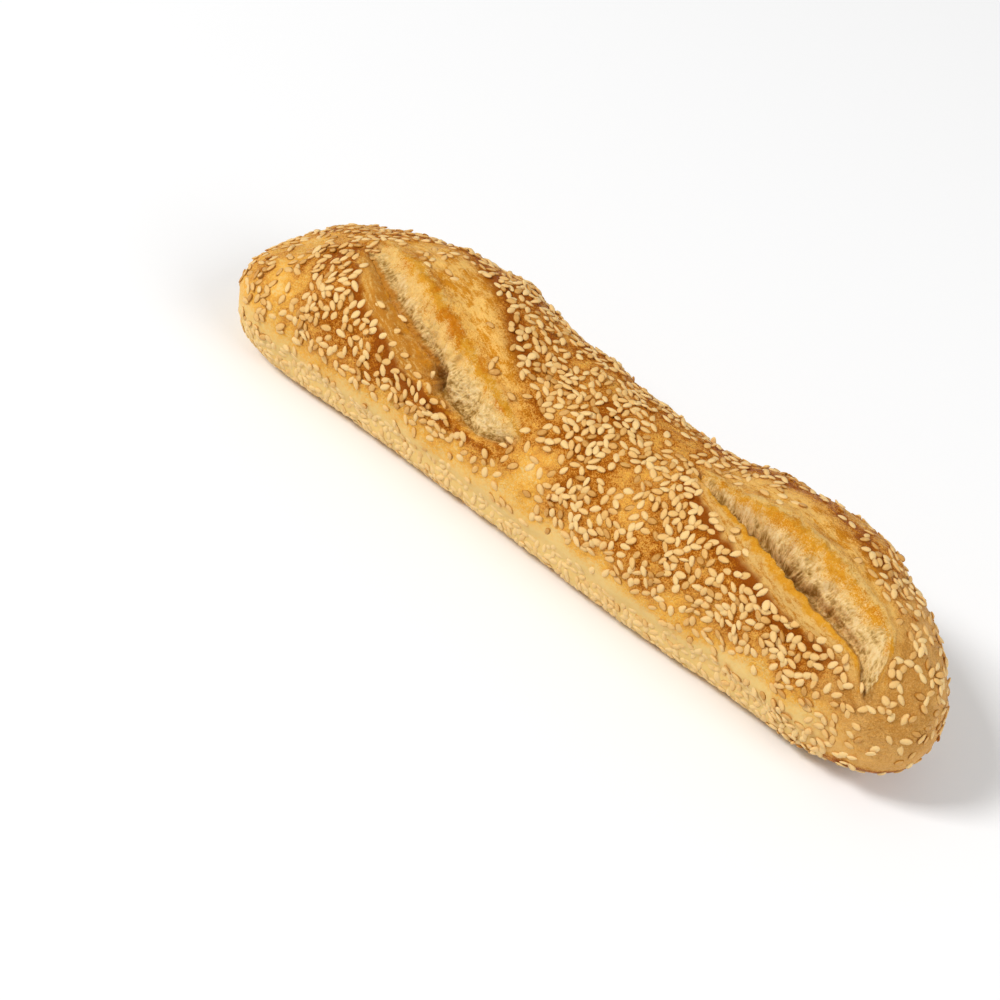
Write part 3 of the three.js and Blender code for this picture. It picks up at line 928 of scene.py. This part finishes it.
def seed_density(grid):
    """How thickly seeds lie at each point of the crust, as a share of the thickest."""
    masks, level, x, angle = (grid[k] for k in ("masks", "level", "x", "angle"))
    patchy = SEED_SHARE["mean"] + uneven(grid["points"], SEED_PATCHES) + SEED_SHARE["belt"] * masks["belt"]
    patchy = np.clip(patchy, SEED_SHARE["least"], SEED_SHARE["most"])
    top = smooth(level, *TOP_SEEDS["levels"]) * patchy
    top = top * (TOP_SEEDS["least"] + (1 - TOP_SEEDS["least"]) * bell(x, *TOP_SEEDS["x"]))
    top = top * (1 - TOP_SEEDS["off_seedless"] * seedless(x, UNROLL_RADIUS * angle))
    top = top * (1 - FAR_TIP_SEEDS["off"] * smooth(-x, *FAR_TIP_SEEDS["x"]))
    upper = FURROW_SEEDS["upper"] + FURROW_RISES["far"] * smooth(-x, *FURROW_RISES["far_x"])
    upper = upper + FURROW_RISES["near"] * smooth(x, *FURROW_RISES["near_x"])
    furrow = FURROW_SEEDS["share"] * smooth(level, *FURROW_SEEDS["levels"])
    furrow = furrow * (1 - smooth(level, upper, upper + FURROW_SEEDS["fade"]))
    to_end = FURROW["end"] + FURROW_SEEDS["past_end"] - np.abs(x)
    furrow = furrow * smooth(to_end, 0, FURROW_SEEDS["end_fade"])
    flank = FLANK_SEEDS["share"] + FLANK_SEEDS["near"] * smooth(x, *FLANK_SEEDS["near_x"])
    flank = flank * smooth(level, *FLANK_SEEDS["levels"])
    near_front = smooth(x, *NEAR_TIP_SEEDS["x"]) * (1 - smooth(angle, *NEAR_TIP_SEEDS["angle"]))
    near_tip = 1 - NEAR_TIP_SEEDS["off"] * near_front
    return np.maximum(np.maximum(top, furrow), flank) * near_tip * free_of_tears(masks)


def scatter_seeds(grid):
    """Where seeds lie: indices into the crust's points, with the count of seeds already touching."""
    random = np.random.default_rng(RANDOM_START)
    points = grid["points"]
    along = np.linalg.norm(np.gradient(points, axis=0), axis=-1)
    around = np.linalg.norm(np.gradient(points, axis=1), axis=-1)
    weight = (seed_density(grid) * along * around).ravel()
    drawn = random.choice(len(weight), SEED_TRIES, p=weight / weight.sum())
    flat = points.reshape(-1, 3)
    taken, kept, crowd = {}, [], []
    for index in drawn:
        place = flat[index]
        cell = tuple((place // SEED_CELL).astype(int))
        near = [p for step in np.ndindex(3, 3, 3) for p in taken.get(tuple(np.add(cell, step) - 1), ())]
        gaps = np.array([np.linalg.norm(place - p) for p in near] or [math.inf])
        if gaps.min() < SEED_GAP:
            continue
        taken.setdefault(cell, []).append(place)
        kept.append(index)
        crowd.append((gaps < SEED_TOUCH).sum())
        if len(kept) == SEED_COUNT:
            break
    return np.array(kept), np.minimum(crowd, MOST_CROWDED), random


def toast_and_shade_by_seeds(grid, kept):
    """How close each point of the crust lies to the edge of a seed, from 0 to 1: there the crust is browned
    and painted with the seed's contact shade.
    """
    points = grid["points"].reshape(-1, 3)
    tree = KDTree(len(kept))
    for number, index in enumerate(kept):
        tree.insert(points[index], number)
    tree.balance()
    away = np.array([tree.find(point)[2] for point in points])
    return bell(away, SEED["width"] * SEED_TOAST_AND_SHADE_RING["at"], SEED_TOAST_AND_SHADE_RING["spread"])


def seed_spots(count, spots):
    """Spots of all the seeds on a flat map, each seed in a cell of its own."""
    columns = math.ceil(math.sqrt(count))
    number = np.arange(count)
    cell = np.stack([number % columns, number // columns], 1)[:, None]
    return (cell + SEED_MAP_MARGIN + (1 - 2 * SEED_MAP_MARGIN) * spots[None]) / columns


def make_seeds(grid, crust):
    kept, crowd, random = scatter_seeds(grid)
    store(crust, "beside_seed", np.concatenate([toast_and_shade_by_seeds(grid, kept), [0, 0]]))
    count = len(kept)
    points = grid["points"].reshape(-1, 3)[kept]
    normal = grid["normal"].reshape(-1, 3)[kept]
    in_furrow = grid["level"].ravel()[kept] < FURROW_TOP
    sunk = in_furrow & (points[:, 0] < SUNK_UP_TO_X)
    tilting = np.where(sunk, SUNK["tilt"], LOOSE["tilt"] + LOOSE["crowd_tilt"] * crowd)
    up = unit(normal + tilting[:, None] * random.normal(size=(count, 3)))
    heading = random.normal(size=(count, 3))
    heading = unit(heading - up * np.sum(heading * up, 1, keepdims=True))
    axes = np.stack([heading, np.cross(up, heading), up], 1)
    size = np.array([SEED["length"], SEED["width"], SEED["thickness"]])
    size = size * (1 + SEED_UNEVEN * random.normal(size=(count, 3)).clip(-2, 2))
    sunk_lift = SUNK["crowd_lift"] * crowd + SUNK["lift"]
    lifted = np.where(sunk, sunk_lift, LOOSE["crowd_lift"] * crowd + LOOSE["lift"])
    shape = seed_shape()
    placed = np.einsum("nsv,nvk->nsk", shape[None] * size[:, None], axes)
    placed += (points + normal * lifted[:, None])[:, None]
    placed[..., 2] = np.maximum(placed[..., 2], LEAST_SEED_LEVEL)

    quads, fans, spots = tube_faces(SEED_RINGS, SEED_SIDES)
    offset = (np.arange(count) * len(shape))[:, None, None]
    faces = [(part[None] + offset).reshape(-1, part.shape[1]) for part in (quads, fans)]
    laid = seed_spots(count, spots)
    laid = [part.reshape(-1, 2) for part in (laid[:, :quads.size], laid[:, quads.size:])]
    seeds = mesh_object("seeds", placed.reshape(-1, 3), faces, np.concatenate(laid))

    toasted = SEED_TOAST["mean"] + SEED_TOAST["spread"] * random.normal(size=count)
    far = SEED_TOAST["far"] * smooth(-points[:, 0], *SEED_TOAST["far_x"])
    toasted = np.clip(toasted + np.where(in_furrow, SEED_TOAST["furrow"], far), *SEED_TOAST["range"])
    store(seeds, "toasted", np.repeat(toasted, len(shape)))
    store(seeds, "pointed", np.tile(shape[:, 0] + 0.5, count))
    # Seeds darker round their sides: browned there, and painted shade where they turn from the light
    store(seeds, "rim", np.tile(1 - np.abs(shape[:, 2]) * 2, count))
    return seeds


# Finishes

class Value:
    """A number socket of a finish, so that shader maths reads as an expression."""

    def __init__(self, finish, socket):
        self.finish = finish
        self.socket = socket

    def maths(self, operation, first, second):
        return self.finish.value("ShaderNodeMath", {"operation": operation}, {0: first, 1: second})

    def __add__(self, other):
        return self.maths("ADD", self, other)

    def __radd__(self, other):
        return self.maths("ADD", other, self)

    def __sub__(self, other):
        return self.maths("SUBTRACT", self, other)

    def __rsub__(self, other):
        return self.maths("SUBTRACT", other, self)

    def __mul__(self, other):
        return self.maths("MULTIPLY", self, other)

    def __rmul__(self, other):
        return self.maths("MULTIPLY", other, self)


class Finish:
    """A material, made from nodes that feed one Principled shader."""

    def __init__(self, name):
        self.material = bpy.data.materials.new(name)
        self.material.use_nodes = True
        self.nodes = self.material.node_tree.nodes
        self.links = self.material.node_tree.links
        self.nodes.clear()

    def node(self, kind, settings, sockets):
        """A node of that kind: its settings first, then the values or links of its sockets."""
        made = self.nodes.new(kind)
        for name, setting in settings.items():
            if name == "stops":
                self.set_stops(made.color_ramp, setting)
            else:
                setattr(made, name, setting)
        for name, given in sockets.items():
            if isinstance(given, Value):
                given = given.socket
            if isinstance(given, bpy.types.NodeSocket):
                self.links.new(given, made.inputs[name])
            else:
                made.inputs[name].default_value = given
        return made

    def set_stops(self, ramp, stops):
        while len(ramp.elements) < len(stops):
            ramp.elements.new(0.5)
        for element, (place, colour) in zip(ramp.elements, stops):
            element.position = place
            element.color = (*colour, 1)

    def value(self, kind, settings, sockets, output=0):
        return Value(self, self.node(kind, settings, sockets).outputs[output])

    def kept(self, name):
        """A number stored at the piece's points."""
        return self.value("ShaderNodeAttribute", {"attribute_name": name}, {}, "Fac")

    def kept_place(self, name):
        return self.node("ShaderNodeAttribute", {"attribute_name": name}, {}).outputs["Vector"]

    def object_place(self):
        return self.node("ShaderNodeTexCoord", {}, {}).outputs["Object"]

    def scaled(self, place, by):
        return self.node("ShaderNodeVectorMath", {"operation": "MULTIPLY"}, {0: place, 1: by}).outputs[0]

    def grain(self, place, size, detail=3.0):
        """Noise from 0 to 1 with features of a size in millimetres, at a place in metres."""
        sockets = {"Vector": place, "Scale": 1 / (size * MM), "Detail": detail}
        return self.value("ShaderNodeTexNoise", {}, sockets, "Fac")

    def pebbles(self, place, size):
        """Rounded pebbles of a size in millimetres: their height, highest in the middle."""
        settings = {"feature": "SMOOTH_F1"}
        sockets = {"Vector": place, "Scale": 1 / (size * MM), "Smoothness": 0.5}
        return 1 - self.value("ShaderNodeTexVoronoi", settings, sockets, "Distance")

    def spread(self, value, low, high):
        """A value eased from 0 at low to 1 at high."""
        settings = {"interpolation_type": "SMOOTHSTEP"}
        sockets = {"Value": value, "From Min": low, "From Max": high}
        return self.value("ShaderNodeMapRange", settings, sockets, "Result")

    def mixed(self, *layers):
        """A sum of noises about 0, each given with its weight."""
        first, *others = [(value - 0.5) * weight for value, weight in layers]
        return sum(others, first)

    def ramp(self, value, stops):
        return self.node("ShaderNodeValToRGB", {"stops": stops}, {"Fac": value}).outputs["Color"]

    def blend(self, share, first, second):
        first, second = [(*c, 1) if isinstance(c, tuple) else c for c in (first, second)]
        sockets = {0: share, 6: first, 7: second}
        return self.node("ShaderNodeMix", {"data_type": "RGBA"}, sockets).outputs[2]

    def bump(self, height, distance, strength):
        sockets = {"Height": height, "Distance": distance * MM, "Strength": strength}
        return self.node("ShaderNodeBump", {}, sockets).outputs["Normal"]

    def surface(self, sockets):
        shader = self.node("ShaderNodeBsdfPrincipled", {}, sockets)
        self.node("ShaderNodeOutputMaterial", {}, {"Surface": shader.outputs[0]})
        return self.material


def bread_surface(f, colour, roughness, normal, light):
    """A matt surface with a warm shine, into which some light sinks."""
    return f.surface({
        "Base Color": colour,
        "Roughness": roughness,
        "Normal": normal,
        "Specular IOR Level": light["shine"],
        "Specular Tint": WARM_SHINE,
        "Subsurface Weight": light["glow"],
        "Subsurface Radius": light["radius"],
        "Subsurface Scale": GLOW_DEPTH,
    })


def torn_skin(f, fine, speckle, mottle):
    """Colour of torn skin: cream, then golden, and orange-brown where it has scorched."""
    tone = f.mixed((fine, 1.3), (speckle, 1.3), (mottle, 1.2))
    golden = f.blend(f.spread(f.kept("goldness") + tone, 0.0, 1.0), TORN_CREAM, TORN_GOLD)
    return f.blend(f.spread(f.kept("scorched") + tone, 0.0, 1.1), golden, TORN_ORANGE)


def stretched_skin(f, grain_and_glints, mottle, patch):
    """Colour of the skin drawn out behind the scores and in the strips before them."""
    streak = f.grain(f.scaled(f.kept_place("score_place"), STREAK_SCALE), STREAK_SIZE)
    strip_brown = f.kept("strip_brown")
    drawn = f.mixed((streak, 2.2), (mottle, 1.8), (patch, 2.4)) + grain_and_glints * 1.2
    drawn = drawn + f.kept("brink") * 0.5 + strip_brown * 0.5
    behind = f.blend(f.spread(drawn, 0.05, 0.95), STRETCHED, STREAKED)
    # The strip before a score, pale to brown in streaks; the brown is also painted shade where the strip
    # falls as a wall into the cleft
    drawn = strip_brown + f.mixed((streak, 3.5)) + grain_and_glints * 0.9
    strip = f.blend(f.spread(drawn, 0.0, 1.0), PALE_STRIP, SHADED_BROWN_STRIP)
    return f.blend(f.kept("strip"), behind, strip)


def crust_finish():
    f = Finish("baked_crust")
    place = f.object_place()
    fine, mottle, patch = (f.grain(place, CRUST_GRAIN[k]) for k in ("fine", "mottle", "patch"))
    speckle = f.grain(place, CRUST_GRAIN["speckle"], SPECKLE_DETAIL)
    pebble = f.pebbles(place, CRUST_GRAIN["pebble"])
    baked = f.kept("browning")
    # Fine grain of the crust; its speckle also paints glints and shade on the micro-bumps
    grain_and_glints = f.mixed((fine, 0.9), (speckle, 1.4), (mottle, 0.6))
    tone = grain_and_glints + f.mixed((patch, 0.7))
    # Pebble tops painted lighter and the dips between them darker: painted highlight and shade
    browning = baked + tone * f.spread(baked, -0.15, 0.5) + (0.5 - pebble) * 0.15
    # Round each seed the crust is browner, and painted with the seed's contact shade
    browning = browning + f.kept("beside_seed") * f.spread(baked, -0.1, 0.5) * 0.27
    skin = f.ramp(browning, CRUST_COLOURS)
    tan = f.blend(f.spread(baked * 0.7 + tone * 0.75, -0.05, 0.7), END_TAN, END_BROWN)
    skin = f.blend(f.kept("near_end"), skin, tan)
    skin = f.blend(f.kept("stretch") * 0.9, skin, stretched_skin(f, grain_and_glints, mottle, patch))
    gold = f.kept("gold") + f.mixed((fine, 0.6), (mottle, 1.0))
    skin = f.blend(f.spread(gold, 0.2, 0.7), skin, torn_skin(f, fine, speckle, mottle))
    # The cleft's wall, and the crust under the crumb: crumb colour with patches of CRUMB_SHADE, painted shade
    # in the cleft
    wall = f.blend(f.spread(fine + mottle, 0.8, 1.2), CRUMB, CRUMB_SHADE)
    colour = f.blend(f.kept("crumb") * (1 - f.spread(f.kept("gold"), 0.3, 0.8)), skin, wall)
    rough = f.spread(baked, 0.0, 0.4) * (1 - f.kept("stretch") * 0.6) + 0.15
    relief = (pebble * 0.5 + fine * 0.6 + speckle * 0.6) * rough
    return bread_surface(f, colour, 0.38 + 0.25 * fine, f.bump(relief, 0.7, 0.8), CRUST_LIGHT)


def crumb_finish():
    f = Finish("torn_crumb")
    place = f.object_place()
    grains = (f.grain(place, CRUMB_GRAIN[k]) for k in ("fine", "mottle", "cloud", "clump"))
    fine, mottle, cloud, clump = grains
    speckle = f.grain(place, CRUMB_GRAIN["speckle"], SPECKLE_DETAIL)
    fibre = f.grain(f.scaled(f.kept_place("fibres"), FIBRE_SCALE), FIBRE_SIZE)
    woolly = f.mixed((cloud, 1.3), (clump, 1.1), (fibre, 1.5), (fine, 0.6))
    # Pale on raised parts, CRUMB_SHADE in pits, by the lip and in the hole: painted light and shade, with
    # random woolly tone
    crumb = f.ramp(f.kept("pit") * 0.6 + f.kept("depth") * 0.4 + woolly, CRUMB_COLOURS)
    # Brown, and painted shade, where the crumb meets the strip's wall by the lip
    rim = f.kept("rim") + f.mixed((fine, 0.8), (mottle, 1.0))
    crumb = f.blend(f.spread(rim, 0.1, 1.0), crumb, SHADED_BROWN_STRIP)
    gold = f.kept("gold") + f.mixed((fine, 1.4), (mottle, 1.0))
    colour = f.blend(f.spread(gold, 0.0, 1.0), crumb, torn_skin(f, fine, speckle, mottle))
    relief = fibre * 0.5 + fine * 0.4 + speckle * 0.3
    return bread_surface(f, colour, CRUMB_DULLNESS, f.bump(relief, 0.4, 0.8), CRUMB_LIGHT)


def seed_finish():
    f = Finish("sesame")
    fine = f.grain(f.object_place(), SEED_GRAIN)
    toasted = f.kept("toasted")
    # Darker towards the pointed end, and round the sides: browned there, and painted shade where the seed
    # turns from the light
    tip_toast_and_rim_shade = 0.2 * f.spread(f.kept("pointed"), 0.75, 1.0) + 0.4 * f.spread(f.kept("rim"), 0.45, 1.0)
    toasted = toasted + f.mixed((fine, 0.3)) + tip_toast_and_rim_shade * (f.spread(toasted, 0.0, 0.5) * 0.7 + 0.3)
    colour = f.ramp(toasted, SEED_COLOURS)
    return bread_surface(f, colour, 0.4 + 0.2 * fine, f.bump(fine, 0.1, 0.4), SEED_LIGHT)


def floor_finish():
    f = Finish("pale_floor")
    return f.surface({"Base Color": FLOOR_WHITE, "Roughness": 0.9, "Specular IOR Level": 0.1})


# Camera, floor and light

def camera_axes():
    turn, rise, roll = (math.radians(a) for a in (CAMERA_TURN, CAMERA_RISE, CAMERA_ROLL))
    back = Vector((math.sin(turn) * math.cos(rise), -math.cos(turn) * math.cos(rise), math.sin(rise)))
    level = Vector((math.cos(turn), math.sin(turn), 0))
    upright = back.cross(level)
    right = level * math.cos(roll) - upright * math.sin(roll)
    up = level * math.sin(roll) + upright * math.cos(roll)
    return right, up, back


def make_camera():
    """A camera that sees the loaf where the photograph has it."""
    right, up, back = camera_axes()
    middle = PHOTO_SIZE / 2
    aside = (PHOTO_AIM[0] - middle) / PHOTO_FOCUS
    above = (middle - PHOTO_AIM[1]) / PHOTO_FOCUS
    behind = (back + right * aside + up * above).normalized()
    sideways = (right - behind * right.dot(behind)).normalized()
    upwards = behind.cross(sideways)
    lens = bpy.data.cameras.new("camera")
    lens.sensor_width = SENSOR_WIDTH
    lens.lens = lens.sensor_width * PHOTO_FOCUS / PHOTO_SIZE
    lens.clip_start = NEAREST_SEEN
    camera = bpy.data.objects.new("camera", lens)
    bpy.context.scene.collection.objects.link(camera)
    stand = (Vector(AIM) + back * CAMERA_DISTANCE) * MM
    turned = Matrix((sideways, upwards, behind)).transposed()
    camera.matrix_world = Matrix.Translation(stand) @ turned.to_4x4()
    bpy.context.scene.camera = camera


def make_light(name, place, size, power):
    lamp = bpy.data.lights.new(name, "AREA")
    lamp.size = size
    lamp.energy = power
    made = bpy.data.objects.new(name, lamp)
    made.location = place
    made.rotation_euler = (-Vector(place)).to_track_quat("-Z", "Y").to_euler()
    bpy.context.scene.collection.objects.link(made)


def make_studio():
    side = FLOOR_HALF_SIDE
    corners = np.array([[-side, -side, 0], [side, -side, 0], [side, side, 0], [-side, side, 0]]) / MM
    floor = mesh_object("floor", corners, [np.array([[0, 1, 2, 3]])])
    floor.location.z = -FLOOR_DROP
    floor.data.materials.append(floor_finish())
    world = bpy.data.worlds.new("studio")
    world.use_nodes = True
    sky = world.node_tree.nodes["Background"]
    sky.inputs["Color"].default_value = (1, 1, 1, 1)
    sky.inputs["Strength"].default_value = SKY_STRENGTH
    bpy.context.scene.world = world
    for light in LIGHTS:
        make_light(**light)
    bpy.context.scene.view_settings.view_transform = "Standard"


def dress(piece, finish):
    piece.data.materials.append(finish)
    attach(piece, "root")
    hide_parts("loaf")


make_camera()
make_studio()
crust, grid = make_crust()
dress(crust, crust_finish())
dress(make_crumb(), crumb_finish())
dress(make_seeds(grid, crust), seed_finish())
